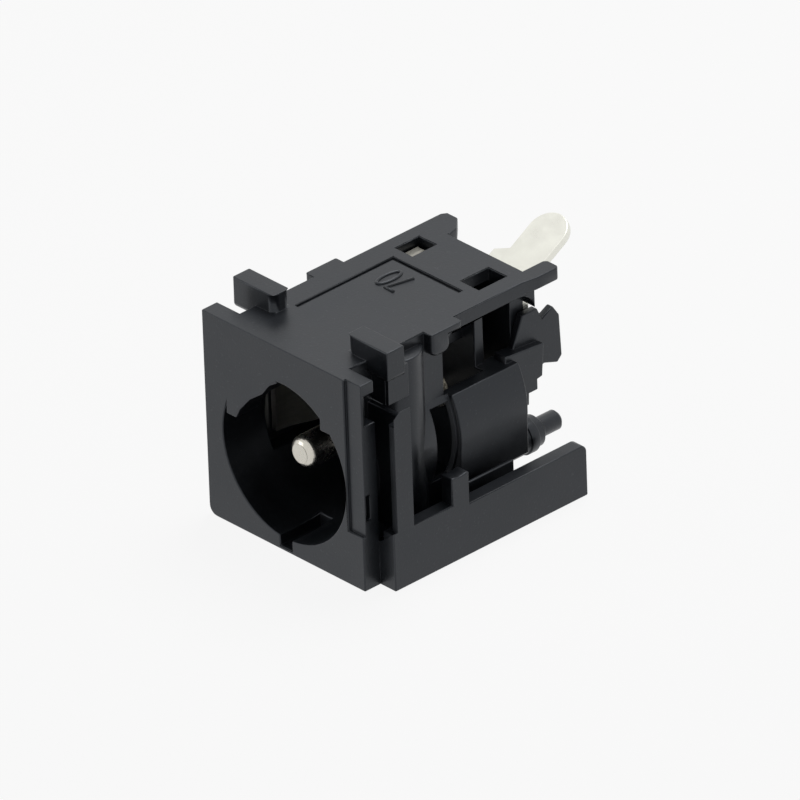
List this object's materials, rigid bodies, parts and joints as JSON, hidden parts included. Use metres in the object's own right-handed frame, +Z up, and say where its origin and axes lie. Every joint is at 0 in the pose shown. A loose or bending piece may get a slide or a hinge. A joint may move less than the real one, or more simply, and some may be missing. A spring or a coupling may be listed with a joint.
{
  "type": "dc barrel jack",
  "caption": "Notebook power jack: black moulded housing with a round keyed plug opening, hook ears and a side rail, centre pin, upright solder lug and sleeve spring.",
  "frame": {"origin": "on the bottom face, straight under the plug axis, in the plane of the front plate's back", "axes": "+Z up from the bottom face; the plug goes in along +Y; +X is to the right when looking into the opening"},
  "size_m": [0.0116, 0.0166, 0.012],
  "materials": {
    "black_moulding": "fine satin moulded black, glass filled",
    "nickel_turned": "dull nickel plate on turned brass",
    "tinned_sheet": "bright tin plate on stamped sheet",
    "nickel_sheet": "nickel plate on spring sheet"
  },
  "bodies": {
    "root": {"housing": "black_moulding", "center_pin": "nickel_turned", "solder_lug": "tinned_sheet", "sleeve_spring": "nickel_sheet"}
  },
  "joints": []
}
